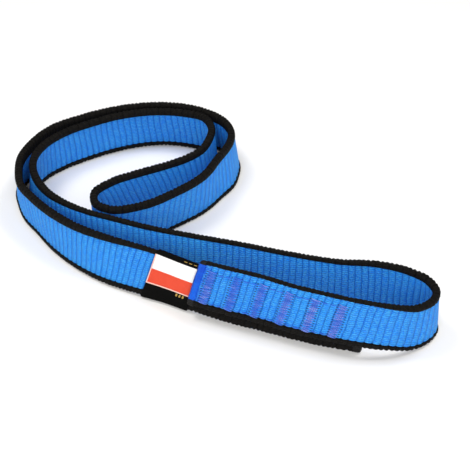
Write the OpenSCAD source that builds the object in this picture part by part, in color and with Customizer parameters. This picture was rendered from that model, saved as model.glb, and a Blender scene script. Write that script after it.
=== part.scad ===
// Sewn webbing sling: one endless loop of flat webbing standing on its edge, curled back on itself.
// Frame: millimetres, +Z up, floor at z = 0, +X to the right along the sewn splice, +Y away.
// The origin is on the floor, under the middle of the whole sling.

/* [Webbing] */
// width of the webbing across its edges
web_w = 26; // [20:0.5:32]
// thickness of one layer
web_t = 3; // [2:0.1:4]
// width of each black edge band
selvedge_w = 3.3; // [1.5:0.1:4]
// thickness of the edge bands away from the splice
selvedge_t = 3.8; // [3:0.1:4]
// length of the heat-sealed tip of each cut end
seal_len = 3.2; // [0.8:0.1:5]

/* [Splice] */
// air left between two sewn layers
lap_gap = 0.4; // [0.2:0.05:0.8]
// how far the near end is sewn above the far one
lap_rise = 7; // [0:0.5:8]

/* [Bar tacks] */
// from the near end to the middle of the first tack
tack_first = 7.5; // [6:0.5:12]
// distance between tacks
tack_pitch = 12.3; // [10:0.1:16]
// width of one tack along the webbing
tack_w = 4.6; // [3:0.1:7]
// height of one tack across the webbing
tack_h = 19; // [12:0.5:21]
// how far the thread stands out of the webbing
tack_rise = 0.6; // [0.3:0.1:1.2]
// height of one straight stitch line
line_h = 0.8; // [0.5:0.1:1.5]

/* [Label] */
// length of the label along the webbing
label_len = 24; // [15:0.5:30]
// thickness of the label tape
label_t = 0.45; // [0.3:0.05:0.8]
// height of the white field
white_h = 8.5; // [5:0.5:10]
// height of the red field
red_h = 8; // [5:0.5:10]
// thickness of the coloured fields
field_t = 0.25; // [0.15:0.05:0.5]
// width of the light border
border_w = 0.7; // [0.4:0.1:1.5]

/* [Hidden] */
// The label tape passes under the strap and lifts it by its own thickness.
label_lift = label_t + 0.15;

// Route of the strap at mid height, in the order it is threaded: x, y, lean in degrees, lift.
// Lean tips the top edge to the left of travel; lift raises the lower edge off the floor.
lap_run = [[-19, -57.5, 7, lap_rise], [-4, -63.5, 8, lap_rise], [11, -69, 8, lap_rise],
    [26, -75, 7, lap_rise - 0.5], [40.5, -80, 6, lap_rise - 0.5], [54, -84, 4, lap_rise - 0.5]];
right_bend = [[68, -84.5, 2, lap_rise - 2.5], [81, -80.5, 0, 1], [88.5, -74.5, 1, 0.5], [91, -68, 4, 0],
    [88, -60.5, 4, 0], [79.5, -55.5, -2, 0]];
back_run = [[66, -52, -8, 0], [47, -51, -12, 0], [25, -46, -14, 0], [2, -39, -14, 0],
    [-21, -32.5, -12, 0], [-43, -25.5, -9, 0], [-60, -18.5, -7, 0], [-72, -13, -4, 0],
    [-83, -6, -3, 0]];
left_bend = [[-92, 2, -3, 0], [-99, 12, -4, 0], [-103.5, 23, -6, 0], [-104.5, 34, -8, 0],
    [-100.5, 45, -8, 0], [-91.5, 55, -6, 0]];
inner_arc = [[-77.5, 64.5, -6, 0], [-61, 72.5, -7, 0], [-43, 76.5, -9, 0], [-27, 75, -9, 0],
    [-15.5, 70, -8, 0], [-11.5, 59.5, -5, 0], [-13, 49, -3, 0]];
tongue = [[-17.5, 39, -1, 0], [-26, 31.5, 1, 0], [-36, 26, 2, 0], [-49, 20, 3, 0],
    [-62, 12.5, 2, 0], [-69.5, 3, 0, 0], [-68, -5, 0, 0], [-60.5, -9, -3, 0]];
hook_run = [[-46.5, -6, -5, 0], [-31, 4.5, -7, 0], [-16.5, 17.5, -3, 0], [-7.5, 32.5, 5, 0],
    [-3.5, 39.5, 8, 0], [-1, 48, 7, 0]];
outer_arc = [[-0.5, 56, 8, 0], [-4, 66, 9, 0], [-16, 76.5, 9, 0], [-32, 82, 9, 0],
    [-49, 82, 8, 0], [-66, 78, 8, 0], [-83, 70.5, 9, 0], [-99, 60, 10, 0]];
left_outer = [[-107.5, 47, 10, 0], [-111.5, 33, 8, 0], [-110, 22, 2, 0], [-106.5, 11, -3, 0],
    [-99.5, 1, -4, 0], [-89.5, -11.5, 0, 0]];
front_run = [[-76, -24, 5, 0], [-60, -34, 12, 0], [-44.5, -41.5, 13, 0.4], [-31, -48, 8, label_lift]];

// Moves the route so that the origin comes under the middle of the sling.
centre = [10.5, 0.5];

// The far layer of the splice lies behind the near one, one thickness away.
lap_dir = 18;
function lap_step(p, lift) = (web_t + lap_gap - (p[3] - lift) * sin(p[2])) / cos(p[2]);
// It ends a little further along than the near layer's last point.
lap_back = [for (i = [0 : len(lap_run) - 1]) let (p = lap_run[i], lift = i == 0 ? label_lift : 0, d = lap_step(p, lift),
    extra = i == len(lap_run) - 1 ? 2.5 : 0)
    [p[0] + d * sin(lap_dir) + extra, p[1] + d * cos(lap_dir) - 0.1 * extra, p[2], lift]];
route = concat(lap_run, right_bend, back_run, left_bend, inner_arc, tongue, hook_run, outer_arc,
    left_outer, front_run, lap_back);

// Smooth curve through the route points.
last = len(route) - 1;
function flat(p) = [p[0], p[1]];
function gap(i) = norm(flat(route[i + 1]) - flat(route[i]));
function slope(i) = i == 0 ? (route[1] - route[0]) / gap(0)
    : i == last ? (route[last] - route[last - 1]) / gap(last - 1)
    : let (a = gap(i - 1), b = gap(i))
        ((route[i] - route[i - 1]) / a * b + (route[i + 1] - route[i]) / b * a) / (a + b);
function blend(i, t) = let (h = gap(i), u = t * t, c = u * t)
    (2 * c - 3 * u + 1) * route[i] + (c - 2 * u + t) * h * slope(i)
    + (3 * u - 2 * c) * route[i + 1] + (c - u) * h * slope(i + 1);
function heading(v) = atan2(v[1], v[0]);
function turn(i) = let (d = abs(heading(slope(i + 1)) - heading(slope(i)))) min(d, 360 - d);
function parts_of(i) = max(2, ceil(turn(i) / 9));
path = concat([for (i = [0 : last - 1]) let (n = parts_of(i)) for (k = [0 : n - 1]) blend(i, k / n)],
    [route[last]]);
steps = [for (i = [0 : len(path) - 2]) norm(flat(path[i + 1]) - flat(path[i]))];
function sums(v, i = 0, total = 0, out = []) = i == len(v) ? concat(out, [total])
    : sums(v, i + 1, total + v[i], concat(out, [total]));
run = sums(steps);
strap_len = run[len(run) - 1];
// Arc length at a route point.
function arc_at(k) = let (n = [for (i = [0 : k]) i < k ? parts_of(i) : 0]) run[n * [for (v = n) 1]];
lap_len = strap_len - arc_at(len(route) - len(lap_back));
// Both ends go on straight for a little, so that a slanting tip has a place there.
first_way = path[1] - path[0];
last_way = path[len(path) - 1] - path[len(path) - 2];
tab = [for (c = [0 : 3]) concat([[-10, path[0][c] - 10 * first_way[c] / run[1]]],
    [for (i = [0 : len(path) - 1]) [run[i], path[i][c]]],
    [[strap_len + 10, path[len(path) - 1][c] + 10 * last_way[c] / norm(flat(last_way))]])];
function at(s) = [for (c = [0 : 3]) lookup(s, tab[c])];

// The woven lines slant where the strap is pulled askew: millimetres along for each one up.
function slant(s) = lookup(s, [[0, 0.24], [8, 0.24], [20, 0.22], [80, 0.22], [100, 0.15], [125, 0.02],
    [160, 0.05], [320, 0.05], [380, -0.05], [400, -0.1], [440, -0.08], [490, 0], [515, 0.3], [560, 0.35],
    [600, 0.15], [640, 0.1], [680, 0], [strap_len - lap_len - 80, 0], [strap_len - lap_len - 45, 0.12],
    [strap_len - lap_len - 24, 0.26], [strap_len - lap_len, 0.24], [strap_len - lap_len + 8, 0.24],
    [strap_len - lap_len + 20, 0.22], [strap_len - 9, 0.2], [strap_len - 1, 0]]);

// A point of the strap: s along it, u up its width, v through its thickness.
function world(s0, u, v) =
    let (s = s0 + u * slant(s0), p = at(s), a = at(s - 0.8), b = at(s + 0.8), d = flat(b) - flat(a),
        t = d / norm(d), n = [-t[1], t[0], 0], z = [0, 0, 1], lean = p[2],
        mid = web_w / 2 * cos(lean) + web_t / 2 * abs(sin(lean)) + p[3])
    [p[0] + centre[0], p[1] + centre[1], mid] + u * (n * sin(lean) + z * cos(lean)) + v * (n * cos(lean) - z * sin(lean));

function stations(s0, s1) = concat([s0], [for (s = run) if (s > s0 + 0.7 && s < s1 - 0.7) s], [s1]);
// Even stations for a short piece.
function even(s0, s1, n) = [for (k = [0 : n]) s0 + (s1 - s0) * k / n];

// Sweep a closed outline [[u, v], ...] along a list of stations.
module sweep(list, outline) sweep_each(list, [for (s = list) outline]);
// The same with an outline of its own at each station.
module sweep_each(list, outlines) {
    m = len(outlines[0]);
    n = len(list);
    polyhedron(points = [for (i = [0 : n - 1]) for (c = outlines[i]) world(list[i], c[0], c[1])],
        faces = concat([[for (k = [0 : m - 1]) k]], [[for (k = [m - 1 : -1 : 0]) (n - 1) * m + k]],
            [for (i = [0 : n - 2]) for (k = [0 : m - 1]) let (j = (k + 1) % m)
                each [[i * m + k, (i + 1) * m + k, (i + 1) * m + j], [i * m + k, (i + 1) * m + j, i * m + j]]]),
        convexity = 8);
}
function box(u0, u1, v0, v1) = [[u0, v0], [u0, v1], [u1, v1], [u1, v0]];

half_w = web_w / 2;
half_t = web_t / 2;
body_h = half_w - selvedge_w;
body_from = seal_len;
body_to = strap_len - seal_len;
full = stations(body_from, body_to);
// Half the thickness of the edge bands: thin in the splice and under the label, full elsewhere.
function edge_half(s) = lookup(s, [[68, half_t], [95, selvedge_t / 2],
    [strap_len - lap_len - 50, selvedge_t / 2], [strap_len - lap_len - 28, half_t]]);
// Rounded band: as thick as the weave where it meets it, narrow at the outside.
function band(side, s) = let (e = edge_half(s)) side > 0
    ? [[body_h, -half_t], [body_h, half_t], [body_h + 0.6, e], [half_w - 0.8, e], [half_w, e - 0.8],
        [half_w, 0.8 - e], [half_w - 0.8, -e], [body_h + 0.6, -e]]
    : [[-half_w, 0.8 - e], [-half_w, e - 0.8], [-half_w + 0.8, e], [-body_h - 0.6, e], [-body_h, half_t],
        [-body_h, -half_t], [-body_h - 0.6, -e], [-half_w + 0.8, -e]];

// The near layer carries the visible thread; the far layer lies along the last lap_len of the strap.
label_to = strap_len - lap_len - 0.4;
label_from = label_to - label_len;
near_face = -half_t;
far_face = half_t;

module web_body() color([0.13, 0.45, 0.88]) sweep(full, box(-body_h, body_h, -half_t, half_t));
module selvedge_upper() color([0.06, 0.06, 0.06]) sweep_each(full, [for (s = full) band(1, s)]);
module selvedge_lower() color([0.06, 0.06, 0.06]) sweep_each(full, [for (s = full) band(-1, s)]);
// Melted tip, drawn in to a blunt wedge.
module tip(s0, s1) {
    wide = box(-half_w + 0.4, half_w - 0.4, -half_t, half_t);
    thin = box(-half_w + 1.4, half_w - 1.4, -half_t + 0.7, half_t - 0.7);
    s_mid = (s0 + s1) / 2;
    pts = concat([for (c = s0 < 1 ? thin : wide) world(s0, c[0], c[1])],
        [for (c = wide) world(s_mid, c[0], c[1])],
        [for (c = s0 < 1 ? wide : thin) world(s1, c[0], c[1])]);
    polyhedron(points = pts, faces = concat([[0, 1, 2, 3]], [[11, 10, 9, 8]],
        [for (i = [0, 1]) for (k = [0 : 3]) let (j = (k + 1) % 4)
            each [[i * 4 + k, i * 4 + 4 + k, i * 4 + 4 + j], [i * 4 + k, i * 4 + 4 + j, i * 4 + j]]]));
}
module end_seal_near() color([0.05, 0.15, 0.5]) tip(0, seal_len);
module end_seal_far() color([0.05, 0.15, 0.5]) tip(strap_len - seal_len, strap_len);

// Thread on the two outer faces of the splice.
function far_s(s) = strap_len - lap_len + s;
module bar_tack(i) color([0.48, 0.5, 0.88]) {
    s = tack_first + i * tack_pitch;
    drop = lap_rise / 2 - 0.5;
    sweep(even(s - tack_w / 2, s + tack_w / 2, 2),
        box(-tack_h / 2, tack_h / 2, near_face - tack_rise, near_face));
    sweep(even(far_s(s) - tack_w / 2, far_s(s) + tack_w / 2, 2),
        box(-tack_h / 2 + drop, tack_h / 2 + drop - 1, far_face, far_face + tack_rise));
}
module bar_tack_1() bar_tack(0);
module bar_tack_2() bar_tack(1);
module bar_tack_3() bar_tack(2);
module bar_tack_4() bar_tack(3);
module bar_tack_5() bar_tack(4);
module bar_tack_6() bar_tack(5);

// Straight stitches joining one tack to the next.
module stitch_line(u) color([0.48, 0.5, 0.88])
    for (i = [0 : 4]) {
        s0 = tack_first + i * tack_pitch + tack_w / 2 + 0.3;
        s1 = s0 + tack_pitch - tack_w - 0.6;
        sweep(even(s0, s1, 2), box(u - line_h / 2, u + line_h / 2, near_face - 0.4, near_face));
    }
module stitch_line_upper() stitch_line(tack_h / 2 - 1);
module stitch_line_lower() stitch_line(-tack_h / 2 + 1);

// Printed tape wrapped round the strap next to the splice.
module label_sleeve() color([0.06, 0.06, 0.07]) {
    list = even(label_from, label_to, 3);
    inner = box(-half_w - 0.1, half_w + 0.1, -half_t - 0.1, half_t + 0.1);
    outer = box(-half_w - 0.1 - label_t, half_w + 0.1 + label_t, -half_t - 0.1 - label_t,
        half_t + 0.1 + label_t);
    n = len(list);
    polyhedron(points = concat([for (s = list) for (c = outer) world(s, c[0], c[1])],
            [for (s = list) for (c = inner) world(s, c[0], c[1])]),
        faces = concat(
            [for (k = [0 : 3]) let (j = (k + 1) % 4) each
                [[k, j, 4 * n + j], [k, 4 * n + j, 4 * n + k],
                    [4 * n - 4 + k, 8 * n - 4 + k, 8 * n - 4 + j], [4 * n - 4 + k, 8 * n - 4 + j, 4 * n - 4 + j]]],
            [for (i = [0 : n - 2]) for (k = [0 : 3]) let (j = (k + 1) % 4, o = 4 * n) each
                [[4 * i + k, 4 * i + 4 + k, 4 * i + 4 + j], [4 * i + k, 4 * i + 4 + j, 4 * i + j],
                    [o + 4 * i + k, o + 4 * i + 4 + j, o + 4 * i + 4 + k],
                    [o + 4 * i + k, o + 4 * i + j, o + 4 * i + 4 + j]]]), convexity = 6);
}
skin = near_face - 0.1 - label_t;
field_top = half_w - 0.2;
white_low = field_top - white_h;
red_low = white_low - red_h;
module field(s0, s1, u0, u1) sweep(even(s0, s1, 3), box(u0, u1, skin - field_t, skin));
module label_white_field() color([0.95, 0.95, 0.95])
    field(label_from + border_w, label_to, white_low, field_top);
module label_red_field() color([0.93, 0.3, 0.17])
    field(label_from + border_w, label_to, red_low, white_low);
module label_border() color([0.9, 0.82, 0.78]) {
    field(label_from, label_from + border_w, red_low - border_w, field_top);
    field(label_from + border_w + 0.05, label_to, red_low - border_w, red_low);
}
// Plain dashes where small print would be, on the face and on the upper fold.
module label_marks() color([0.75, 0.6, 0.3]) {
    for (k = [0 : 2]) field(label_to - 7.4 + 1.7 * k, label_to - 6.5 + 1.7 * k, red_low - 2.9, red_low - 1.3);
    fold = half_w + 0.1 + label_t;
    for (k = [0 : 2]) sweep(even(label_to - 9 + 2.6 * k, label_to - 7.4 + 2.6 * k, 2), box(fold, fold + field_t, -1.2, -0.5));
}

web_body();
selvedge_upper();
selvedge_lower();
end_seal_near();
end_seal_far();
bar_tack_1();
bar_tack_2();
bar_tack_3();
bar_tack_4();
bar_tack_5();
bar_tack_6();
stitch_line_upper();
stitch_line_lower();
label_sleeve();
label_white_field();
label_red_field();
label_border();
label_marks();
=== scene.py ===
# %% [markdown]
# # A sewn webbing sling
# The real object is one long strap of ribbed webbing. Its two ends overlap and are sewn together,
# so it makes an endless loop. Here it stands on its edge, curled back on itself.
# The imported CAD model gives the place and the size of every piece. This lesson gives each piece
# the surface of the real thing: woven ribs, beaded dark edges, melted tips, thread and a label.
# We load that model first; its parts are hidden later, where our own pieces take their place.

# %% Load the frame
import math
import random

import bmesh
import bpy
import numpy as np
from mathutils import Matrix, Vector


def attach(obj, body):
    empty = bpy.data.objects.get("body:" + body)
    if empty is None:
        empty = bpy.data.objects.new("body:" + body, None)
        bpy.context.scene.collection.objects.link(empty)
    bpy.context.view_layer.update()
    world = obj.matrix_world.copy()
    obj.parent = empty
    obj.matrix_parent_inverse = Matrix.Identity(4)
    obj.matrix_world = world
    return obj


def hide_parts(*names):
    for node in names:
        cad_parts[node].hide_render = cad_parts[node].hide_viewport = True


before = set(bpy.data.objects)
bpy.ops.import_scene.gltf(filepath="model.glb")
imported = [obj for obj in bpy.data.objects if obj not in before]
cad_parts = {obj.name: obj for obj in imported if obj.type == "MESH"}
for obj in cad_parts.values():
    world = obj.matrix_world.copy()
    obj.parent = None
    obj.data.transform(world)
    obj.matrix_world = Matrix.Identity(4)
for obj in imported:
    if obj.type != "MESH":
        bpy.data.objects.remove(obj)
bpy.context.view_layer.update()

# %% [markdown]
# ## Camera
# The sling is seen from the front and from 40 degrees above the floor. A long lens at 0.6 m gives
# the mild perspective of a product picture. The camera looks along +Y at `CENTRE`, a point on the
# floor near the middle of the sling. The route further down is drawn around the same point.

# %% Camera
CENTRE = (0.0105, 0.0005)
CAMERA_RISE, CAMERA_DISTANCE = math.radians(40), 0.6


def make_camera():
    data = bpy.data.cameras.new("camera")
    data.lens, data.sensor_width = 91.0, 36.0
    data.clip_start, data.clip_end = 0.01, 50.0
    camera = bpy.data.objects.new("camera", data)
    bpy.context.scene.collection.objects.link(camera)
    camera.location = (CENTRE[0], CENTRE[1] - CAMERA_DISTANCE * math.cos(CAMERA_RISE),
                       CAMERA_DISTANCE * math.sin(CAMERA_RISE))
    camera.rotation_euler = (math.pi / 2 - CAMERA_RISE, 0, 0)
    bpy.context.scene.camera = camera
    return camera


camera = make_camera()
print("camera at", [round(x, 4) for x in camera.location])

# %% [markdown]
# ## Floor and light
# A plain pale floor and soft light from panels keep the shadows faint, as in a light tent. Two
# panels hang above the sling, left and right, so that each side gets a short soft shadow. A third
# one fills from the front, and the white world does the rest. The Standard view keeps the strong
# blue of the dye, which a film-like view would wash out.

# %% Floor and light
def soft_panel(name, place, size, watts):
    """A square light at that place, turned to the middle of the floor."""
    data = bpy.data.lights.new(name, "AREA")
    data.shape, data.size, data.energy = "SQUARE", size, watts
    panel = bpy.data.objects.new(name, data)
    bpy.context.scene.collection.objects.link(panel)
    panel.location = place
    panel.rotation_euler = (Vector((0, 0, 0)) - Vector(place)).to_track_quat("-Z", "Y").to_euler()


def make_floor():
    bm = bmesh.new()
    bmesh.ops.create_grid(bm, x_segments=4, y_segments=4, size=3.0)
    bmesh.ops.translate(bm, verts=bm.verts, vec=(0, 0, -0.0001))
    mesh = bpy.data.meshes.new("floor")
    bm.to_mesh(mesh)
    bm.free()
    floor = bpy.data.objects.new("floor", mesh)
    bpy.context.scene.collection.objects.link(floor)
    paper = bpy.data.materials.new("pale_floor")
    paper.use_nodes = True
    surface = paper.node_tree.nodes["Principled BSDF"]
    surface.inputs["Base Color"].default_value = (0.95, 0.935, 0.91, 1)
    surface.inputs["Roughness"].default_value = 0.8
    mesh.materials.append(paper)
    return floor


floor = make_floor()
soft_panel("panel_left", (-0.32, 0.05, 0.72), 0.28, 2.4)
soft_panel("panel_right", (0.32, 0.05, 0.72), 0.28, 2.4)
soft_panel("panel_front", (0.0, -0.95, 0.6), 0.8, 9.2)
world = bpy.data.worlds.new("world")
world.use_nodes = True
world.node_tree.nodes["Background"].inputs["Color"].default_value = (1, 1, 1, 1)
world.node_tree.nodes["Background"].inputs["Strength"].default_value = 0.3
bpy.context.scene.world = world
bpy.context.scene.view_settings.view_transform = "Standard"

# %% [markdown]
# ## The route of the strap
# A strap is flat, but it bends only across its flat side, so its shape is a line on the floor with
# a lean at each point. These are the same points as in the CAD source, in the order in which the
# strap is threaded: x and y in metres, the lean in degrees, and the lift off the floor in metres.
# The first six points are the near layer of the splice, which is sewn 7 mm higher than the far one.

# %% Route points
WEB_W, WEB_T = 0.026, 0.003
LAP = [(-.019, -.0575, 7, .007), (-.004, -.0635, 8, .007), (.011, -.069, 8, .007),
       (.026, -.075, 7, .0065), (.0405, -.08, 6, .0065), (.054, -.084, 4, .0065)]
RIGHT_BEND = [(.068, -.0845, 2, .0045), (.081, -.0805, 0, .001), (.0885, -.0745, 1, .0005),
              (.091, -.068, 4, 0), (.088, -.0605, 4, 0), (.0795, -.0555, -2, 0)]
BACK_RUN = [(.066, -.052, -8, 0), (.047, -.051, -12, 0), (.025, -.046, -14, 0),
            (.002, -.039, -14, 0), (-.021, -.0325, -12, 0), (-.043, -.0255, -9, 0),
            (-.06, -.0185, -7, 0), (-.072, -.013, -4, 0), (-.083, -.006, -3, 0)]
LEFT_BEND = [(-.092, .002, -3, 0), (-.099, .012, -4, 0), (-.1035, .023, -6, 0),
             (-.1045, .034, -8, 0), (-.1005, .045, -8, 0), (-.0915, .055, -6, 0)]
INNER_ARC = [(-.0775, .0645, -6, 0), (-.061, .0725, -7, 0), (-.043, .0765, -9, 0),
             (-.027, .075, -9, 0), (-.0155, .07, -8, 0), (-.0115, .0595, -5, 0),
             (-.013, .049, -3, 0)]
TONGUE = [(-.0175, .039, -1, 0), (-.026, .0315, 1, 0), (-.036, .026, 2, 0), (-.049, .02, 3, 0),
          (-.062, .0125, 2, 0), (-.0695, .003, 0, 0), (-.068, -.005, 0, 0), (-.0605, -.009, -3, 0)]
HOOK_RUN = [(-.0465, -.006, -5, 0), (-.031, .0045, -7, 0), (-.0165, .0175, -3, 0),
            (-.0075, .0325, 5, 0), (-.0035, .0395, 8, 0), (-.001, .048, 7, 0)]
OUTER_ARC = [(-.0005, .056, 8, 0), (-.004, .066, 9, 0), (-.016, .0765, 9, 0), (-.032, .082, 9, 0),
             (-.049, .082, 8, 0), (-.066, .078, 8, 0), (-.083, .0705, 9, 0), (-.099, .06, 10, 0)]
LEFT_OUTER = [(-.1075, .047, 10, 0), (-.1115, .033, 8, 0), (-.11, .022, 2, 0),
              (-.1065, .011, -3, 0), (-.0995, .001, -4, 0), (-.0895, -.0115, 0, 0)]
FRONT_RUN = [(-.076, -.024, 5, 0), (-.06, -.034, 12, 0), (-.0445, -.0415, 13, .0004),
             (-.031, -.048, 8, .0006)]


# The air between the two layers, the way from one to the other, how far the label tape lifts the
# far one at its start, and how much further along it ends.
LAP_GAP, LAP_HEADING = 0.0004, math.radians(18)
LABEL_LIFT, FAR_EXTRA = 0.0006, 0.0025


def far_layer(points):
    """The far layer of the splice: one thickness behind the near one, and down on the floor."""
    out = []
    for i, (x, y, lean, lift) in enumerate(points):
        tilt = math.radians(lean)
        low = LABEL_LIFT if i == 0 else 0.0
        extra = FAR_EXTRA if i == len(points) - 1 else 0.0
        step = (WEB_T + LAP_GAP - (lift - low) * math.sin(tilt)) / math.cos(tilt)
        out.append((x + step * math.sin(LAP_HEADING) + extra,
                    y + step * math.cos(LAP_HEADING) - 0.1 * extra, lean, low))
    return out


ROUTE = np.array(LAP + RIGHT_BEND + BACK_RUN + LEFT_BEND + INNER_ARC + TONGUE + HOOK_RUN
                 + OUTER_ARC + LEFT_OUTER + FRONT_RUN + far_layer(LAP))
print(len(ROUTE), "route points")

# %% [markdown]
# ## A smooth line through the points
# A curve object could carry the strap, but its twist is hard to steer. Instead we draw one smooth
# line through the points ourselves and measure along it. `on_route` then takes a place on the
# strap while it is still flat, and says where that place is once the strap stands on the floor.
# `along` and `up` and `out` are in millimetres: along the strap, up its width, through its
# thickness. Where the strap was pulled askew its ribs lean, and `slant` says how much. Every woven
# and sewn piece below is first made flat, and then laid with it. `lookup` is for values that change
# slowly along the strap: it draws straight lines between a few pairs.

# %% Smooth line
LINE_PARTS = 24  # points of the line between two route points
BEYOND = 10  # millimetres for which both ends go on straight, so that a slanting tip has a place


def lookup(along, *pairs):
    """Straight lines between pairs of (along, value)."""
    return np.interp(along, *zip(*pairs))


def smooth_line(points):
    gaps = np.linalg.norm(np.diff(points[:, :2], axis=0), axis=1)
    inner = [((points[i] - points[i - 1]) / gaps[i - 1] * gaps[i]
              + (points[i + 1] - points[i]) / gaps[i] * gaps[i - 1]) / (gaps[i - 1] + gaps[i])
             for i in range(1, len(points) - 1)]
    slope = np.array([(points[1] - points[0]) / gaps[0], *inner,
                      (points[-1] - points[-2]) / gaps[-1]])
    line = []
    for i, h in enumerate(gaps):
        for t in np.arange(LINE_PARTS) / LINE_PARTS:
            u, c = t * t, t * t * t
            line.append((2 * c - 3 * u + 1) * points[i] + (c - 2 * u + t) * h * slope[i]
                        + (3 * u - 2 * c) * points[i + 1] + (c - u) * h * slope[i + 1])
    return np.array(line + [points[-1]])


LINE = smooth_line(ROUTE)
STEPS = np.linalg.norm(np.diff(LINE[:, :2], axis=0), axis=1)
RUN = np.concatenate([[0], np.cumsum(STEPS)]) * 1000
LENGTH = RUN[-1]
LAP_LENGTH = LENGTH - RUN[LINE_PARTS * (len(ROUTE) - len(LAP))]
FAR_START = LENGTH - LAP_LENGTH
AHEAD = np.gradient(LINE[:, :2], RUN, axis=0)
LONG_RUN = np.concatenate([[-BEYOND], RUN, [LENGTH + BEYOND]])
LONG_LINE = np.vstack([LINE[0] - (LINE[1] - LINE[0]) / RUN[1] * BEYOND, LINE,
                       LINE[-1] + (LINE[-1] - LINE[-2]) / (RUN[-1] - RUN[-2]) * BEYOND])


def slant(along):
    """How far a woven line leans forward along the strap, in millimetres for each one up."""
    return lookup(along, (0, .24), (8, .24), (20, .22), (80, .22), (100, .15), (125, .02),
                  (160, .05), (320, .05), (380, -.05), (400, -.1), (440, -.08), (490, 0),
                  (515, .3), (560, .35), (600, .15), (640, .1), (680, 0), (FAR_START - 80, 0),
                  (FAR_START - 45, .12), (FAR_START - 24, .26), (FAR_START, .24),
                  (FAR_START + 8, .24), (FAR_START + 20, .22), (LENGTH - 9, .2), (LENGTH - 1, 0))


def on_route(along, up, out):
    """Places on the flat strap, in millimetres, as places in the scene, in metres."""
    along = along + up * slant(along)
    x, y, lean, lift = (np.interp(along, LONG_RUN, LONG_LINE[:, k]) for k in range(4))
    tx, ty = (np.interp(along, RUN, AHEAD[:, k]) for k in range(2))
    size = np.hypot(tx, ty)
    nx, ny, lean = -ty / size, tx / size, np.radians(lean)
    height = WEB_W / 2 * np.cos(lean) + WEB_T / 2 * np.abs(np.sin(lean)) + lift
    side = (up * np.sin(lean) + out * np.cos(lean)) / 1000
    return np.stack([x + CENTRE[0] + nx * side, y + CENTRE[1] + ny * side,
                     height + (up * np.cos(lean) - out * np.sin(lean)) / 1000], axis=1)


print(f"strap {LENGTH:.0f} mm long, overlap {LAP_LENGTH:.0f} mm, loop {FAR_START:.0f} mm round")

# %% [markdown]
# ## Making a piece flat and laying it
# Each piece starts as a grid, which one operator makes at once. `rolled_band` rolls such a grid
# into a closed bar: the grid's columns go round an outline, the seam is merged and the two ends are
# filled. `laid` then moves each vertex to its place on the route. It keeps the flat place of each
# vertex in an attribute named `weave`, so that the woven pattern follows the strap round its bends.

# %% Helpers for flat pieces
def rolled_band(rings, outline):
    """A closed bar: x counts the rings, and y and z follow the outline [(up, out), ...]."""
    bm, sides = bmesh.new(), len(outline)
    bmesh.ops.create_grid(bm, x_segments=rings, y_segments=sides, size=0.5)
    for vert in bm.verts:
        ring, side = round((vert.co.x + 0.5) * rings), round((vert.co.y + 0.5) * sides) % sides
        vert.co = (ring, *outline[side])
    bmesh.ops.remove_doubles(bm, verts=bm.verts, dist=1e-5)
    bmesh.ops.holes_fill(bm, edges=[e for e in bm.edges if e.is_boundary], sides=0)
    return bm


def laid(name, bm, shape=None, closed=True):
    """Gives the flat piece its shape, lays it on the route and makes it an object.
    shape takes the flat coordinates and returns (along, up, out) in millimetres and the weave."""
    mesh = bpy.data.meshes.new(name)
    bm.to_mesh(mesh)
    bm.free()
    flat = np.empty(len(mesh.vertices) * 3)
    mesh.vertices.foreach_get("co", flat)
    flat = flat.reshape(-1, 3)
    place, weave = shape(*flat.T) if shape else (flat.T, flat.T)
    mesh.vertices.foreach_set("co", on_route(*place).ravel())
    kept = mesh.attributes.new("weave", "FLOAT_VECTOR", "POINT")
    rows = np.stack(np.broadcast_arrays(*weave), axis=1).astype(np.float32)
    kept.data.foreach_set("vector", rows.ravel())
    mesh.update()
    if closed:
        bm = bmesh.new()
        bm.from_mesh(mesh)
        bmesh.ops.recalc_face_normals(bm, faces=bm.faces)
        bm.to_mesh(mesh)
        bm.free()
    mesh.polygons.foreach_set("use_smooth", [True] * len(mesh.polygons))
    piece = bpy.data.objects.new(name, mesh)
    bpy.context.scene.collection.objects.link(piece)
    return piece


def report(*pieces):
    print("made", ", ".join(f"{p.name} ({len(p.data.polygons)} faces)" for p in pieces))


# %% [markdown]
# ## Ribs
# Heavy webbing has ribs across it: bundles of warp yarn arch over thick weft cords about 3 mm
# apart. The ribs spread a little where the strap is pulled round a bend. `rib_place` turns a
# count of ribs into a distance along the strap, and `crest` says how high the rib stands there:
# broad and round on top, with a narrow groove between two ribs.

# %% Rib spacing
RIB_PITCH, PULLED_BY = 3.12, 0.3
pitch = RIB_PITCH + 0.06 * np.sin(RUN / 41)
for bend, width in ((100, 25), (450, 60), (640, 50)):
    pitch += PULLED_BY * np.exp(-((RUN - bend) / width) ** 2)
RIB_COUNT = np.concatenate([[0], np.cumsum(np.diff(RUN) / pitch[1:])])
RIBS = int(RIB_COUNT[-1])
RIB_COUNT *= RIBS / RIB_COUNT[-1]


def rib_place(count):
    return np.interp(count, RIB_COUNT, RUN)


def rib_number(along):
    return np.interp(along, RUN, RIB_COUNT)


def crest(count, power=0.8):
    return np.abs(np.sin(np.pi * count)) ** power


print(RIBS, "ribs")

# %% [markdown]
# ## Where the blue meets the black
# Each dark edge band is about 3 mm wide, but its inner border wanders, as it does when the strap is
# folded and pulled. In the splice the blue of the near layer reaches almost to the top. `border`
# gives the height of that border above or below the middle line, in millimetres. `edge_half` is
# half the thickness of the bands: they swell where the strap is free, and are pressed flat in the
# splice. `sewn_dip` is the shallow trough that the tight bar tacks press into the webbing; it is 1
# at the middle of a tack and 0 between two tacks.

# %% Borders, edge thickness and sewn dips
HALF_T = 1.5  # half the thickness of one layer, in millimetres
TACKS, TACK_FIRST, TACK_PITCH, TACK_W, TACK_H = 6, 7.5, 12.3, 4.6, 19.0
SEWN_FROM, SEWN_TO = 3, 74  # the length of the sewn part, from the near end


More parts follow.
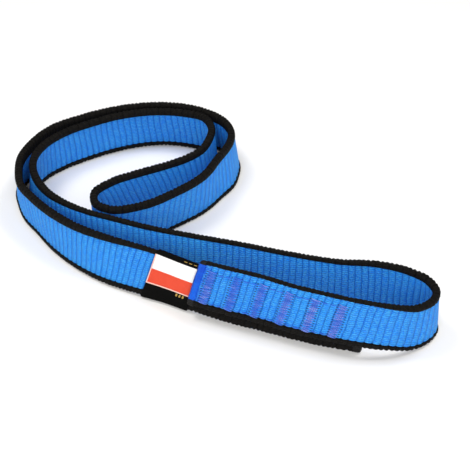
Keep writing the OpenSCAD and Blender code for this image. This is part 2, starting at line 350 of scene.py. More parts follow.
def border(side, along):
    if side > 0:
        return lookup(along, (0, 12.3), (82, 12.3), (100, 11.0), (125, 9.8), (180, 11.2),
                      (300, 11.2), (335, 9.6), (400, 9.9), (560, 9.7), (600, 9.6), (677, 9.5),
                      (700, 9.1), (809, 9.1), (870, 9.4), (905, 10.2), (935, 11.6),
                      (LENGTH, 11.2))
    return lookup(along, (0, 9.15), (86, 9.2), (100, 10.2), (130, 10.8), (180, 10.2), (380, 9.9),
                  (500, 9.9), (600, 10.4), (677, 10.4), (809, 10.0), (905, 10.0), (935, 9.2),
                  (FAR_START, 9.0), (FAR_START + 4, 7.8), (LENGTH, 7.8))


def deeper(along):
    """Painted shade: on the inner face of the outer coil the black band reaches lower down,
    standing in for the shade there.
    """
    return lookup(along, (660, 0), (690, 1.5), (800, 2.6), (850, 2.6), (880, 0))


def edge_half(along):
    return lookup(along, (0, 1.5), (80, 1.5), (100, 1.78), (150, 1.78), (180, 1.6), (300, 1.6),
                  (330, 1.88), (FAR_START - 50, 1.88), (FAR_START - 28, 1.5), (LENGTH, 1.5))


def sewn_dip(along):
    near = np.where(along < LAP_LENGTH, along, along - FAR_START)
    off = (near - TACK_FIRST + TACK_PITCH / 2) % TACK_PITCH - TACK_PITCH / 2
    layer = (along < SEWN_TO) | (along > FAR_START)
    sewn = layer & (near > SEWN_FROM) & (near < SEWN_TO)
    return np.where(sewn, np.exp(-(off / 2.6) ** 4), 0.0)


print("blue from", -float(border(-1, 440)), "to", float(border(1, 440)), "mm on the inner arc")

# %% [markdown]
# ## The webbing body
# This is the blue middle of the strap. A plain box with a bump map would look flat at its outline,
# so the ribs are real geometry: eight rings of vertices to each rib. The body reaches a little
# under the dark bands on both sides, as the yarns of the two are woven into each other.

# %% Webbing body
def face_outline(half_up, half_out, columns, corner=0.35):
    """A flat box outline with blunt corners, with the columns spread over its two broad faces."""
    ups = np.linspace(-half_up + corner, half_up - corner, columns)
    near = [(u, -half_out) for u in ups]
    far = [(u, half_out) for u in ups[::-1]]
    return near + [(half_up, -half_out + corner), (half_up, half_out - corner)] + far \
        + [(-half_up, half_out - corner), (-half_up, -half_out + corner)]


SEAL = 3.2  # length of a melted tip
RINGS_PER_RIB, RIB_DEPTH, UNDER_BAND = 8, 0.5, 0.3
BODY_HALF = 10.0  # the flat outline's half width, before the borders stretch it
FIRST_RIB, LAST_RIB = rib_number(SEAL), rib_number(LENGTH - SEAL)
RINGS = round((LAST_RIB - FIRST_RIB) * RINGS_PER_RIB)


def ring_count(ring):
    """The count of ribs at a ring: the first and the last ring sit on the two melted tips."""
    return FIRST_RIB + ring * (LAST_RIB - FIRST_RIB) / RINGS


def body_shape(ring, side, out):
    count = ring_count(ring)
    along = rib_place(count)
    sewn = sewn_dip(along)
    middle = (border(1, along) - border(-1, along)) / 2
    reach = (border(1, along) + border(-1, along)) / 2 + UNDER_BAND
    up = middle + side / BODY_HALF * reach
    bowed = (count + 0.05 * np.sin(up * 0.32 + 0.9 * np.sin(count * 0.7))
             + 0.02 * np.sin(up * 1.3 + count * 2.1))
    level = (HALF_T - (RIB_DEPTH - 0.16 * sewn) * (1 - crest(bowed)) - 0.22 * sewn
             - 0.06 * (up / 11.0) ** 2)
    return (along, up, out * level / HALF_T), (bowed, up, out)


web = laid("webbing_body", rolled_band(RINGS, face_outline(BODY_HALF, HALF_T, 9)), body_shape)
report(web)

# %% [markdown]
# ## The dark edge bands
# The selvedge is where the weft turns round and goes back. Its outer edge bulges a little at every
# turn of the weft, three to two ribs, like a row of flat beads, and no two beads are quite alike.
# Its inner border is scalloped by the blue ribs. Each band is a rounded bar that sits on the edge
# of the body.

# %% Dark edge bands
BAND = [(0.0, -0.72), (0.1, -1.0), (0.35, -1.02), (0.62, -1.0), (0.86, -0.86), (0.97, -0.55),
        (1.0, 0.0), (0.97, 0.55), (0.86, 0.86), (0.62, 1.0), (0.35, 1.02), (0.1, 1.0),
        (0.0, 0.72), (-0.05, 0.0)]
BEADS_PER_RIB, BAND_EDGE = 1.5, 13.05
EDGE_NOTCH, FACE_NOTCH = 0.65, 0.42  # how deep it is between two beads, at the edge and the faces


def band_shape(side):
    def shape(ring, across, thick):
        count = ring_count(ring)
        along = rib_place(count)
        blue_to = border(side, along)
        uneven = 0.72 + 0.28 * np.sin(2.7 * count + 1.9 * np.sin(0.8 * count))
        top = 1 - (1 - crest(BEADS_PER_RIB * count + 0.04, 1.0)) * uneven
        inner = blue_to + 0.3 * (top - 0.5) * np.clip((12.9 - blue_to) / 3, 0, 1)
        # Black put in for shade: the band reaches lower on the inner face of the outer coil.
        inner = inner - deeper(along) * (thick > 0) * (side > 0)
        outer = BAND_EDGE - EDGE_NOTCH * (1 - top) * np.clip((13 - blue_to) / 3, 0.2, 1)
        up = side * (inner + across * (outer - inner))
        level = edge_half(along) + 0.04 - FACE_NOTCH * (1 - top) - 0.15 * sewn_dip(along)
        return (along, up, level * thick), (count, up, level * thick)
    return shape


upper = laid("selvedge_band_upper", rolled_band(RINGS, BAND), band_shape(1))
lower = laid("selvedge_band_lower", rolled_band(RINGS, BAND), band_shape(-1))
report(upper, lower)

# %% [markdown]
# ## The melted tips
# A hot knife cuts the webbing and melts its ends, so that they can't fray. The melt is smooth, a
# bit thinner at the very end and rounded at its corners. It is the same rolled band with only a few
# rings, drawn in towards the cut.

# %% Melted tips
TIP_RINGS, TIP_OVERLAP = 10, 0.35


def tip_shape(start, way):
    def shape(ring, up, out):
        depth = ring / TIP_RINGS * (SEAL + TIP_OVERLAP)
        inset = 1 - np.sqrt(np.clip(1 - (1 - np.clip(depth / 1.5, 0, 1)) ** 2, 0, 1))
        wavy = 0.12 * np.sin(up * 0.9 + start) + 0.08 * np.sin(up * 2.3)
        thin = 1 - 0.5 * inset - 0.03 * np.sin(up * 1.7 + depth)
        along = start + way * (depth + wavy * inset)
        level = out * thin * (1 + 0.02 * np.clip(depth / SEAL, 0, 1))
        new_up = up * (1 - 0.11 * inset)
        return (along, new_up, level), (depth, new_up, level)
    return shape


tip_outline = face_outline(12.9, 1.47, 17, 0.5)
near_tip = laid("melted_tip_near", rolled_band(TIP_RINGS, tip_outline), tip_shape(0, 1))
far_tip = laid("melted_tip_far", rolled_band(TIP_RINGS, tip_outline), tip_shape(LENGTH, -1))
report(near_tip, far_tip)

# %% [markdown]
# ## A sewn stitch
# Thread that is pulled tight lies as a short arch: it comes out of one needle hole and goes into
# the next. One stitch is made as a small tube and copied with `duplicate` and `transform`, so all
# stitches share one shape with few faces. The attribute `thread` keeps the distance along the
# stitch, the turn round it and a number for each copy, for the twist of the two plies.

# %% One stitch
THREAD_RADIUS, THREAD_SUNK = 0.27, 0.55


def stitch_shape(bm, length, rise):
    """An arched tube along +X from 0 to length. Returns its vertices."""
    made = bmesh.ops.create_grid(bm, x_segments=7, y_segments=6, size=0.5)["verts"]
    layer = bm.verts.layers.float_vector["thread"]
    for vert in made:
        t, turn = vert.co.x + 0.5, 2 * math.pi * (vert.co.y + 0.5)
        arch = math.sin(math.pi * t) ** 0.45 if 0 < t < 1 else 0.0
        thick = THREAD_RADIUS * (0.75 + 0.25 * arch)
        middle = arch * (rise + THREAD_SUNK) - THREAD_SUNK
        vert[layer] = (t * length, turn / (2 * math.pi), 0)
        vert.co = (t * length, thick * math.cos(turn), middle + thick * math.sin(turn))
    doubles = bmesh.ops.find_doubles(bm, verts=made, dist=1e-5)["targetmap"]
    bmesh.ops.weld_verts(bm, targetmap=doubles)
    kept = [v for v in made if v.is_valid]
    rims = [e for e in {e for v in kept for e in v.link_edges} if e.is_boundary]
    bmesh.ops.holes_fill(bm, edges=rims, sides=0)
    return kept


def sew(name, seams, rise, seed):
    """Sews stitches, each (along, up) to (along, up) on a face of the strap, as one piece.
    seams holds (start, end, face): face -1 is the near side and 1 the far side."""
    chance = random.Random(seed)
    bm = bmesh.new()
    layer = bm.verts.layers.float_vector.new("thread")
    length = math.dist(*seams[0][:2])
    pattern = stitch_shape(bm, length, rise)
    parts = [*pattern, *{f for v in pattern for f in v.link_faces},
             *{e for v in pattern for e in v.link_edges}]
    for start, end, face in seams:
        copy = bmesh.ops.duplicate(bm, geom=parts)
        verts = [g for g in copy["geom"] if isinstance(g, bmesh.types.BMVert)]
        turn = math.atan2(end[1] - start[1], end[0] - start[0])
        stretch = (math.dist(start, end) / length, 1, face * chance.uniform(0.9, 1.1), 1)
        place = (Matrix.Translation((*start, face * HALF_T)) @ Matrix.Rotation(turn, 4, "Z")
                 @ Matrix.Diagonal(stretch))
        bmesh.ops.transform(bm, matrix=place, verts=verts)
        share = chance.random()
        for vert in verts:
            vert[layer].z = share
    bmesh.ops.delete(bm, geom=pattern, context="VERTS")
    return laid(name, bm)


print("stitch pattern ready")

# %% [markdown]
# ## Bar tacks
# Six bar tacks hold the splice. Each is a dense zig-zag, 19 mm high, and the thread shows on both
# outer faces of the two layers. On the far layer the tack sits higher, because that layer is sewn
# lower. The thread path is worked out stitch by stitch with a small wobble, as a machine leaves it.

# %% Bar tacks
FAR_TACK_LIFT = 3.0


def zigzag(middle, low, high, face, steps, chance):
    ups = [low + (high - low) * k / steps for k in range(steps + 1)]
    ends = [(middle + (TACK_W / 2 * (-1) ** k + chance.uniform(-0.22, 0.22)),
             u + chance.uniform(-0.12, 0.12)) for k, u in enumerate(ups)]
    return [(start, end, face) for start, end in zip(ends, ends[1:])]


def bar_tack(number):
    chance = random.Random(40 + number)
    middle, half = TACK_FIRST + TACK_PITCH * number, TACK_H / 2
    seams = zigzag(middle, -half, half, -1, 27, chance)
    seams += zigzag(FAR_START + middle, -half + FAR_TACK_LIFT, half + FAR_TACK_LIFT - 1, 1, 26,
                    chance)
    return sew(f"tack_thread_{number + 1}", seams, 0.1, 90 + number)


tacks = [bar_tack(number) for number in range(TACKS)]
report(*tacks)

# %% [markdown]
# ## Straight stitches
# The machine walks from one tack to the next with a few straight stitches, near the top and near
# the bottom of the tacks. They are the same thread, pulled flat into the ribs.

# %% Straight stitches
def stitch_line(name, up, seed):
    """Two stitches in each gap between two tacks."""
    chance = random.Random(seed)
    step, hole = (TACK_PITCH - TACK_W) / 2, 0.15
    seams = []
    for tack in range(TACKS - 1):
        start = TACK_FIRST + TACK_PITCH * tack + TACK_W / 2
        for k in range(2):
            a, b = start + step * k + hole, start + step * (k + 1) - hole
            seams.append(((a, up + chance.uniform(-0.1, 0.1)),
                          (b, up + chance.uniform(-0.1, 0.1)), -1))
    return sew(name, seams, 0.02, seed)


line_upper = stitch_line("stitch_thread_upper", TACK_H / 2 - 1, 7)
line_lower = stitch_line("stitch_thread_lower", -TACK_H / 2 + 1, 8)
report(line_upper, line_lower)

# %% [markdown]
# ## The label
# A thin dark tape is wrapped round the strap beside the splice and sewn to itself at the back. It
# is a real sheet, so it is made as one: a grid that goes once round the strap and overlaps itself,
# then Solidify gives it its thickness. Its coloured fields and its light border are thin slabs on
# its front, with rounded rims from a bevel.

# %% Label tape
LABEL_LENGTH = 24
LABEL_TO = FAR_START - 0.4
LABEL_FROM = LABEL_TO - LABEL_LENGTH
TAPE, TAPE_OVERLAP, CROWN = 0.45, 5.0, 0.14
TAPE_UP, TAPE_OUT, TAPE_BEND = 13.1, 1.6, 0.75  # its inside: half height, half depth, corners


def round_the_strap(t):
    """A point of the tape's middle, at t from 0 to 1 along its length, as (up, out)."""
    half_up, half_out, r = TAPE_UP + TAPE / 2, TAPE_OUT + TAPE / 2, TAPE_BEND
    total = 4 * (half_up + half_out) - 8 * r + 2 * math.pi * r
    left_to_go = (3.0 - TAPE_OVERLAP + (total + TAPE_OVERLAP) * t) % total
    loose = 0.5 * min(1, max(0, (t - 0.86) / 0.05))
    # The walk starts at the middle of the far face and goes down, under, up the near face and over.
    half, bottom, bend = ("line", half_up - r), ("line", 2 * (half_out - r)), ("arc", r)
    legs = [half, bend, bottom, bend, ("line", 2 * (half_up - r)), bend, bottom, bend, half]
    place, heading = Vector((0.0, half_out)), Vector((-1.0, 0.0))
    for kind, size in legs:
        part = min(left_to_go, size if kind == "line" else size * math.pi / 2)
        if kind == "line":
            place = place + heading * part
        else:
            side = Vector((-heading.y, heading.x))
            angle = part / size
            hub = place + side * size
            place = hub - side * size * math.cos(angle) + heading * size * math.sin(angle)
            heading = heading * math.cos(angle) + side * math.sin(angle)
        left_to_go -= part
        if left_to_go <= 0:
            break
    outward = Vector((heading.y, -heading.x))
    return place + outward * loose, total + TAPE_OVERLAP


def label_tape():
    around = 72
    bm = bmesh.new()
    bmesh.ops.create_grid(bm, x_segments=14, y_segments=around, size=0.5)
    stops = [round_the_strap(k / around)[0] for k in range(around + 1)]
    for vert in bm.verts:
        s, k = vert.co.x + 0.5, round((vert.co.y + 0.5) * around)
        place = stops[k]
        crown = CROWN * math.sin(math.pi * s) * (1 if place.y < -1 else 0)
        vert.co = (LABEL_FROM + s * (LABEL_TO - LABEL_FROM), place.x, place.y - crown)
    return laid("label_tape", bm, closed=False)


def bevelled(piece, width):
    rim = piece.modifiers.new("soft_rim", "BEVEL")
    rim.width, rim.segments, rim.limit_method = width, 2, "ANGLE"


tape = label_tape()
wall = tape.modifiers.new("tape_thickness", "SOLIDIFY")
wall.thickness, wall.offset = TAPE / 1000, 0.0
bevelled(tape, 0.00012)
tape_length = round_the_strap(0)[1]
report(tape)
print(f"tape {tape_length:.1f} mm long")

# %% [markdown]
# ## Fields, border and marks
# `slab` makes one thin woven field, sunk a little into the tape. It starts as a grid on the front
# of the tape; the middle is crowned with the tape, and the rim is bevelled. The white and the red
# field meet in one line. The light border runs down the left side and along the bottom. Small print
# is left out: three plain dashes stand for it on the front, and three more on the upper fold.

# %% Label fields
SUNK = 0.05
FRONT, FOLD = TAPE_OUT + TAPE - SUNK, TAPE_UP + TAPE - SUNK
FIELD, BORDER, DASH = 0.22, 0.3, 0.2  # how thick each kind of slab is
TOP = 12.8
WHITE_LOW, RED_LOW = TOP - 8.5, TOP - 16.5
BORDER_LOW = RED_LOW - 0.65
LEFT, RIGHT = LABEL_FROM + 0.7, LABEL_TO - 0.1


def slab(bm, corner, opposite, level, thick, cells=(10, 6), crown=CROWN, fold=False):
    """A thin slab on the near face at that level, or on the upper fold, as part of bm."""
    (s0, a0), (s1, a1) = corner, opposite
    made = bmesh.ops.create_grid(bm, x_segments=cells[0], y_segments=cells[1], size=0.5)["verts"]
    faces = list({f for v in made for f in v.link_faces})
    raised = bmesh.ops.extrude_face_region(bm, geom=faces)["geom"]
    tops = {v for v in raised if isinstance(v, bmesh.types.BMVert)}
    for vert in set(made) | tops:
        s = s0 + (vert.co.x + 0.5) * (s1 - s0)
        a = a0 + (vert.co.y + 0.5) * (a1 - a0)
        share = min(1, max(0, (s - LABEL_FROM) / (LABEL_TO - LABEL_FROM)))
        high = level + crown * math.sin(math.pi * share) + (thick if vert in tops else 0)
        vert.co = (s, high, a) if fold else (s, a, -high)


def woven_patch(name, parts):
    bm = bmesh.new()
    for *place, options in parts:
        slab(bm, *place, **options)
    piece = laid(name, bm)
    bevelled(piece, 0.00008)
    return piece


white = woven_patch("label_white", [((LEFT, WHITE_LOW), (RIGHT, TOP), FRONT, FIELD, {})])
red = woven_patch("label_red", [((LEFT, RED_LOW), (RIGHT, WHITE_LOW - 0.02), FRONT, FIELD, {})])
trim = woven_patch("label_edge", [
    ((LABEL_FROM + 0.12, BORDER_LOW), (LEFT - 0.02, TOP), FRONT, BORDER, {"cells": (2, 12)}),
    ((LEFT, BORDER_LOW), (RIGHT, RED_LOW - 0.04), FRONT, BORDER, {"cells": (12, 2)})])
small, on_fold = {"cells": (2, 2)}, {"cells": (2, 2), "crown": 0, "fold": True}
marks = woven_patch("label_dashes", [
    *[((LABEL_TO - 7.4 + 1.7 * k, RED_LOW - 2.9), (LABEL_TO - 6.5 + 1.7 * k, RED_LOW - 1.3),
       FRONT, DASH, small) for k in range(3)],
    *[((LABEL_TO - 9 + 2.6 * k, -1.1), (LABEL_TO - 7.4 + 2.6 * k, -0.7),
       FOLD, DASH, on_fold) for k in range(3)]])
report(white, red, trim, marks)

# %% [markdown]
# ## Node helpers
# A material is a small graph. `add` makes one node and fills its inputs: a plain value is set, and
# another node's output is linked. `reckon` is a Math node, `times` the one that multiplies, and
# `blend_colours` mixes two colours.

# %% Node helpers
def srgb(*screen):
    """A colour as a screen shows it, 0 to 255, as the linear colour that a shader needs."""
    parts = [c / 255 for c in screen]
    return (*[c / 12.92 if c <= 0.04045 else ((c + 0.055) / 1.055) ** 2.4 for c in parts], 1.0)


def add(tree, kind, inputs=None, **settings):
    node = tree.nodes.new("ShaderNode" + kind)
    for key, value in settings.items():
        setattr(node, key, value)
    for key, value in (inputs or {}).items():
        if isinstance(value, bpy.types.NodeSocket):
            tree.links.new(value, node.inputs[key])
        else:
            node.inputs[key].default_value = value
    return node


def reckon(tree, operation, *values, clamp=False):
    node = add(tree, "Math", dict(enumerate(values)), operation=operation, use_clamp=clamp)
    return node.outputs[0]


def times(tree, first, second):
    return reckon(tree, "MULTIPLY", first, second)


def blend_colours(tree, share, first, second):
    return add(tree, "Mix", {"Factor": share, 6: first, 7: second}, data_type="RGBA").outputs[2]


def ramp(tree, value, low, high):
    """0 below low, 1 above high, and smooth between them."""
    inputs = {"Value": value, "From Min": low, "From Max": high}
    return add(tree, "MapRange", inputs, interpolation_type="SMOOTHSTEP").outputs[0]


def noise(tree, vector, scale, detail, **more):
    inputs = {"Vector": vector, "Scale": scale, "Detail": detail, **more}
    return add(tree, "TexNoise", inputs).outputs[0]


def waves(tree, value, cycles=1.0):
    """A sine of the value, folded up so that there are that many humps to each one."""
    return reckon(tree, "ABSOLUTE", reckon(tree, "SINE", times(tree, value, math.pi * cycles)))


def new_group(name, inputs, outputs):
    group = bpy.data.node_groups.new(name, "ShaderNodeTree")
    for label, kind, value in inputs:
        socket = group.interface.new_socket(label, in_out="INPUT",
                                            socket_type="NodeSocket" + kind)
        if value is not None:
            socket.default_value = value
    for label, kind in outputs:
        group.interface.new_socket(label, in_out="OUTPUT", socket_type="NodeSocket" + kind)
    return group, group.nodes.new("NodeGroupInput"), group.nodes.new("NodeGroupOutput")


print("node helpers ready")

# %% [markdown]
# ## The rib weave
# Close up, each rib is a stack of small yarn floats, like flat beads, and the stacks of two
# neighbouring ribs are set off by half a bead. This group reads the `weave` attribute: ribs along,
# millimetres up. It gives a height for the bump, and two masks where the materials paint shade:
# one for the grooves between ribs and one for the gaps between beads. It is used for the blue body
# and for the dark edges, with different bead sizes.

# %% Group: rib weave
RIB_NOISE = 3.1


def make_rib_weave():
    group, ins, outs = new_group(
        "rib_weave", [("Weave", "Vector", None), ("Beads per mm", "Float", 0.8),
                      ("Fuzz", "Float", 0.3)],
        [("Height", "Float"), ("Groove", "Float"), ("Gap", "Float"), ("Fleck", "Float")])
    split = add(group, "SeparateXYZ", {0: ins.outputs["Weave"]})
    count, up = split.outputs[0], split.outputs[1]
    rib = reckon(group, "POWER", waves(group, count), 0.5)
    odd = times(group, reckon(group, "MODULO", reckon(group, "FLOOR", count), 2.0), 0.5)
    # Ribs count for as many millimetres as they are wide, so that the noise isn't stretched.
    even = add(group, "VectorMath", {0: ins.outputs["Weave"], 1: (RIB_NOISE, 1, 1)},
               operation="MULTIPLY").outputs[0]
    rows = reckon(group, "ADD", times(group, up, ins.outputs["Beads per mm"]), odd)
    rows = reckon(group, "ADD", rows, times(group, noise(group, even, 0.55, 2.0), 0.9))
    bead = reckon(group, "POWER", waves(group, rows), 0.6)
    fleck = ramp(group, noise(group, even, 1.6, 3.0, Roughness=0.65), 0.36, 0.66)
    height = times(group, reckon(group, "MULTIPLY_ADD", bead, 0.75, 0.25), rib)
    height = reckon(group, "MULTIPLY_ADD", times(group, fleck, ins.outputs["Fuzz"]), 0.5, height)
    group.links.new(height, outs.inputs["Height"])
    group.links.new(ramp(group, rib, 0.8, 0.1), outs.inputs["Groove"])
    group.links.new(ramp(group, bead, 0.75, 0.1), outs.inputs["Gap"])
    group.links.new(fleck, outs.inputs["Fleck"])
    return group


rib_weave = make_rib_weave()
print("group", rib_weave.name)

# %% [markdown]
# ## Slow colour drift and fine tape weave
# Dyed yarn is never one even colour. `colour_drift` moves a colour gently towards a second one,
# over a few centimetres, and adds a finer mottle. `tape_weave` is the tight over-and-under of label
# tape: two crossed waves, about three threads to a millimetre.

# %% Groups: colour drift and tape weave
def make_colour_drift():
    group, ins, outs = new_group(
        "colour_drift", [("Position", "Vector", None), ("Main", "Color", None),
                         ("Other", "Color", None), ("Amount", "Float", 0.5)], [("Color", "Color")])
    broad, fine = (ramp(group, noise(group, ins.outputs["Position"], scale, detail), 0.35, 0.65)
                   for scale, detail in ((38.0, 2.0), (420.0, 3.0)))
    both = reckon(group, "ADD", times(group, broad, 0.6), times(group, fine, 0.4))
    share = reckon(group, "MULTIPLY", both, ins.outputs["Amount"], clamp=True)
    mixed = blend_colours(group, share, ins.outputs["Main"], ins.outputs["Other"])
    group.links.new(mixed, outs.inputs["Color"])
    return group


def make_tape_weave():
    group, ins, outs = new_group(
        "tape_weave", [("Weave", "Vector", None), ("Threads per mm", "Float", 4.0)],
        [("Height", "Float"), ("Mask", "Float")])
    split = add(group, "SeparateXYZ", {0: ins.outputs["Weave"]})
    threads = (times(group, split.outputs[k], ins.outputs["Threads per mm"]) for k in (0, 1))
    sines = [reckon(group, "SINE", times(group, count, math.pi)) for count in threads]
    crossed = reckon(group, "MULTIPLY_ADD", times(group, *sines), 0.5, 0.5)
    slub = noise(group, ins.outputs["Weave"], 1.3, 3.0)
    mask = reckon(group, "MULTIPLY_ADD", slub, 0.5, times(group, crossed, 0.5))
    group.links.new(crossed, outs.inputs["Height"])
    group.links.new(mask, outs.inputs["Mask"])
    return group


colour_drift, tape_weave = make_colour_drift(), make_tape_weave()
print("groups", colour_drift.name, tape_weave.name)

# %% [markdown]
# ## Twisted thread
# Sewing thread is two plies twisted together, so light runs over it in slanted stripes. The group
# reads the `thread` attribute and turns distance and turn into those stripes. The third number is
# different for each stitch, and shifts its colour a little.

# %% Group: twisted thread
def make_twist():
    group, ins, outs = new_group(
        "twisted_thread", [("Thread", "Vector", None), ("Turns per mm", "Float", 0.9)],
        [("Height", "Float"), ("Mask", "Float"), ("Share", "Float")])
    split = add(group, "SeparateXYZ", {0: ins.outputs["Thread"]})
    along = times(group, split.outputs[0], ins.outputs["Turns per mm"])
    stripe = waves(group, reckon(group, "ADD", along, split.outputs[1]), 2)
    group.links.new(reckon(group, "POWER", stripe, 0.6), outs.inputs["Height"])
    # The mask marks the crown of each ply, where the thread materials paint a highlight.
    group.links.new(ramp(group, stripe, 0.1, 0.8), outs.inputs["Mask"])
    group.links.new(split.outputs[2], outs.inputs["Share"])
    return group


twisted_thread = make_twist()
print("group", twisted_thread.name)

# %% [markdown]
# ## Materials
# Every material follows one recipe: a pattern group gives masks, the masks choose between a lit and
# a deep colour, which mostly paints highlight and shade into the fabric, the drift group breaks
# up what is left, and a Bump node turns the pattern's height into small relief. The shader itself
# stays in the material. The yarn has only a soft gloss, so its roughness is about a half or more.

# %% Material recipe
def fabric(name, roughness, gloss):
    material = bpy.data.materials.new(name)
    material.use_nodes = True
    tree = material.node_tree
    shader = tree.nodes["Principled BSDF"]
    shader.inputs["Roughness"].default_value = roughness
    shader.inputs["Specular IOR Level"].default_value = gloss
    return material, tree, shader


def place_group(tree, group, values):
    return add(tree, "Group", values, node_tree=group)


def finish_fabric(tree, shader, colour, height, relief, rough=None):
    tree.links.new(colour, shader.inputs["Base Color"])
    bump = add(tree, "Bump", {"Height": height, "Distance": relief, "Strength": 1.0})
    tree.links.new(bump.outputs[0], shader.inputs["Normal"])
    if rough is not None:
        tree.links.new(rough, shader.inputs["Roughness"])


def attribute(tree, name):
    return add(tree, "Attribute", attribute_name=name).outputs["Vector"]


def drifted(tree, main, other, amount):
    place = add(tree, "TexCoord").outputs["Object"]
    values = {"Position": place, "Main": main, "Other": other, "Amount": amount}
    return place_group(tree, colour_drift, values).outputs["Color"]


print("material recipe ready")

# %% [markdown]
# ## Blue webbing
# The crests of the ribs are bright azure, and shade is painted as a deeper blue into the
# grooves and into the gaps between beads. Near the two cut ends the heat has darkened the yarn,
# and small dark spots of painted shade mark the needle holes beside each bar tack.

# %% Blue webbing material
HOLE_STEP = 1.46


def needle_hole_shade(tree, weave):
    """Painted shade at needle holes: 1 at the two columns of holes beside each tack of the
    near layer, broken into spots.
    """
    split = add(tree, "SeparateXYZ", {0: weave})
    along, up = times(tree, split.outputs[0], float(rib_place(20) / 20)), split.outputs[1]
    off = reckon(tree, "ADD", along, TACK_PITCH / 2 - TACK_FIRST)
    off = reckon(tree, "SUBTRACT", reckon(tree, "MODULO", off, TACK_PITCH), TACK_PITCH / 2)
    column = reckon(tree, "COMPARE", reckon(tree, "ABSOLUTE", off), TACK_W / 2 + 0.15, 0.42)
    rows = reckon(tree, "SINE", times(tree, up, 2 * math.pi / HOLE_STEP))
    height = reckon(tree, "LESS_THAN", reckon(tree, "ABSOLUTE", up), TACK_H / 2)
    here = reckon(tree, "LESS_THAN", along, float(SEWN_TO))
    spots = times(tree, column, ramp(tree, rows, -0.2, 0.5))
    return times(tree, times(tree, spots, height), here)


def blue_webbing():
    material, tree, shader = fabric("blue_webbing", 0.55, 0.35)
    weave = attribute(tree, "weave")
    values = {"Weave": weave, "Beads per mm": 0.92, "Fuzz": 0.6}
    cloth = place_group(tree, rib_weave, values).outputs
    colour = drifted(tree, srgb(8, 150, 255), srgb(4, 130, 250), 0.8)
    colour = blend_colours(tree, times(tree, cloth["Fleck"], 0.8), colour, srgb(74, 190, 255))
    # Painted shade: the gaps between beads and the grooves between ribs are darkened to a deeper
    # blue.
    colour = blend_colours(tree, times(tree, cloth["Gap"], 0.9), colour, srgb(4, 82, 212))
    colour = blend_colours(tree, times(tree, cloth["Groove"], 0.6), colour, srgb(4, 72, 190))
    count = add(tree, "SeparateXYZ", {0: weave}).outputs[0]
    ragged = reckon(tree, "MULTIPLY_ADD", cloth["Fleck"], 1.2, count)
    heated = times(tree, ramp(tree, ragged, 3.1, 1.4), 0.8)
    colour = blend_colours(tree, heated, colour, srgb(4, 84, 226))
    # Painted shade: dark blue spots at the needle holes beside the near layer's tacks.
    holes = times(tree, needle_hole_shade(tree, weave), 0.75)
    colour = blend_colours(tree, holes, colour, srgb(8, 30, 96))
    rough = reckon(tree, "MULTIPLY_ADD", cloth["Gap"], 0.15, 0.55)
    finish_fabric(tree, shader, colour, cloth["Height"], 0.0007, rough)
    return material


blue = blue_webbing()
print(blue.name, len(blue.node_tree.nodes), "nodes")

# %% [markdown]
# ## Black edge, melted tip and thread
# The edge yarn is nearly black and almost without gloss, with shade painted into its grooves.
# The near tip is the same blue, melted deeper and smoother, with the black edge melted in;
# the far one is burnt almost black. The thread of the tacks is a pale violet, with a painted
# highlight on the crown of each ply and painted shade between the plies. The straight stitches
# are so worn down into the ribs that they look nearly blue.

# %% Black edge, tip and thread materials
BLUE_MIDDLE = 1.6  # the blue of the near tip lies this far above the strap's middle line


def black_edge():
    material, tree, shader = fabric("black_edge", 0.8, 0.12)
    values = {"Weave": attribute(tree, "weave"), "Beads per mm": 0.9, "Fuzz": 0.7}
    cloth = place_group(tree, rib_weave, values).outputs
    colour = drifted(tree, srgb(10, 9, 8), srgb(16, 14, 12), 0.7)
    colour = blend_colours(tree, times(tree, cloth["Fleck"], 0.4), colour, srgb(32, 28, 23))
    # Painted shade: the grooves between ribs are darkened almost to black.
    colour = blend_colours(tree, times(tree, cloth["Groove"], 0.8), colour, srgb(2, 2, 2))
    rough = reckon(tree, "MULTIPLY_ADD", cloth["Gap"], 0.15, 0.7)
    finish_fabric(tree, shader, colour, cloth["Height"], 0.0007, rough)
    return material


def melted(name, light, shade, burnt, reach):
    """Melted yarn: light to shade in clouds, burnt at the cut, and black beyond the reach of the
    blue."""
    material, tree, shader = fabric(name, 0.45, 0.18)
    weave = attribute(tree, "weave")
    split = add(tree, "SeparateXYZ", {0: weave})
    melt = noise(tree, weave, 0.7, 4.0)
    off = reckon(tree, "ABSOLUTE", reckon(tree, "SUBTRACT", split.outputs[1], BLUE_MIDDLE))
    black = ramp(tree, reckon(tree, "MULTIPLY_ADD", melt, 0.5, off), reach, reach + 0.4)
    at_cut = ramp(tree, reckon(tree, "MULTIPLY_ADD", melt, 0.6, split.outputs[0]), 1.0, 0.2)
    colour = blend_colours(tree, at_cut, drifted(tree, light, shade, 0.9), burnt)
    colour = blend_colours(tree, black, colour, srgb(18, 17, 16))
    rough = reckon(tree, "MULTIPLY_ADD", melt, 0.3, 0.4)
    finish_fabric(tree, shader, colour, melt, 0.0012, rough)
    return material


def sewing_thread(name, pale, mid, deep):
    material, tree, shader = fabric(name, 0.6, 0.3)
    values = {"Thread": attribute(tree, "thread"), "Turns per mm": 0.55}
    twist = place_group(tree, twisted_thread, values).outputs
    lit = blend_colours(tree, twist["Share"], pale, mid)
    # Painted light: lit colour on the crown of each ply, the deep colour as shade between plies.
    ply = blend_colours(tree, twist["Mask"], deep, lit)
    colour = drifted(tree, ply, srgb(40, 108, 222), 0.9)
    finish_fabric(tree, shader, colour, twist["Height"], 0.00012)
    return material


edge_black = black_edge()
thread_violet = sewing_thread("violet_thread", srgb(160, 176, 255), srgb(74, 118, 228),
                              srgb(4, 32, 124))
thread_blue = sewing_thread("blue_thread", srgb(70, 120, 226), srgb(50, 108, 220),
                            srgb(14, 62, 170))
tip_blue = melted("melted_blue", srgb(2, 98, 220), srgb(1, 66, 190), srgb(1, 44, 140), 10.6)
tip_dark = melted("melted_dark", srgb(14, 26, 60), srgb(12, 14, 22), srgb(10, 10, 12), 7.0)
print(edge_black.name, tip_blue.name, tip_dark.name, thread_violet.name)
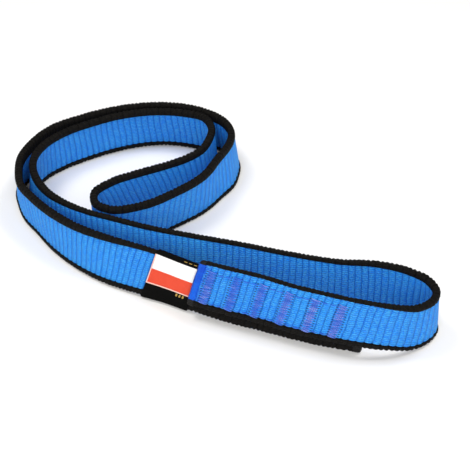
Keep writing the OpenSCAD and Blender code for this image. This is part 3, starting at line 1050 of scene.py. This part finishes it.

# %% [markdown]
# ## Label materials
# All parts of the label are the same fine tape in other colours, so one recipe with other values
# makes them all: tight crossed threads with shade painted slightly darker between them, mixed
# with random slubs, and a soft satin gloss.

# %% Label materials
def tape_colour(name, main, other, dark, amount, roughness=0.6, gloss=0.25):
    material, tree, shader = fabric(name, roughness, gloss)
    values = {"Weave": attribute(tree, "weave"), "Threads per mm": 3.2}
    cloth = place_group(tree, tape_weave, values).outputs
    # Painted shade between the crossed threads, mixed with random slub tone.
    between = times(tree, reckon(tree, "SUBTRACT", 1.0, cloth["Mask"]), amount)
    colour = blend_colours(tree, between, drifted(tree, main, other, 0.6), dark)
    finish_fabric(tree, shader, colour, cloth["Height"], 0.00008)
    return material


tape_black = tape_colour("label_black", srgb(5, 5, 4), srgb(10, 9, 8), srgb(1, 1, 1),
                         0.5, roughness=0.85, gloss=0.08)
tape_white = tape_colour("label_white_weave", srgb(252, 251, 250), srgb(244, 243, 241),
                         srgb(214, 212, 212), 0.35)
tape_red = tape_colour("label_red_weave", srgb(230, 78, 48), srgb(220, 66, 40),
                       srgb(186, 46, 28), 0.4)
tape_pale = tape_colour("label_edge_weave", srgb(250, 214, 200), srgb(240, 190, 175),
                        srgb(205, 140, 120), 0.4)
tape_gold = tape_colour("label_dash_weave", srgb(196, 160, 76), srgb(168, 126, 54),
                        srgb(104, 74, 30), 0.5)
print("label materials ready")

# %% [markdown]
# ## Putting it together
# Each row lists a piece, its material, the record's material slot and the CAD nodes it stands for.
# Each piece gets its material and rides on the one body of this model, and its CAD nodes are
# hidden; the slot is listed but not used.

# %% Assign, ride and replace
ROLES = [
    (web, blue, "web", ["web_body"]),
    (upper, edge_black, "selvedge", ["selvedge_upper"]),
    (lower, edge_black, "selvedge", ["selvedge_lower"]),
    (near_tip, tip_blue, "seal", ["end_seal_near"]),
    (far_tip, tip_dark, "seal", ["end_seal_far"]),
    *[(tack, thread_violet, "thread", [f"bar_tack_{i + 1}"]) for i, tack in enumerate(tacks)],
    (line_upper, thread_blue, "thread", ["stitch_line_upper"]),
    (line_lower, thread_blue, "thread", ["stitch_line_lower"]),
    (tape, tape_black, "label_base", ["label_sleeve"]),
    (white, tape_white, "label_white", ["label_white_field"]),
    (red, tape_red, "label_red", ["label_red_field"]),
    (trim, tape_pale, "label_border", ["label_border"]),
    (marks, tape_gold, "label_marks", ["label_marks"]),
]
for piece, material, slot, nodes in ROLES:
    piece.data.materials.append(material)
    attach(piece, "root")
    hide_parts(*nodes)
print(len(ROLES), "pieces")
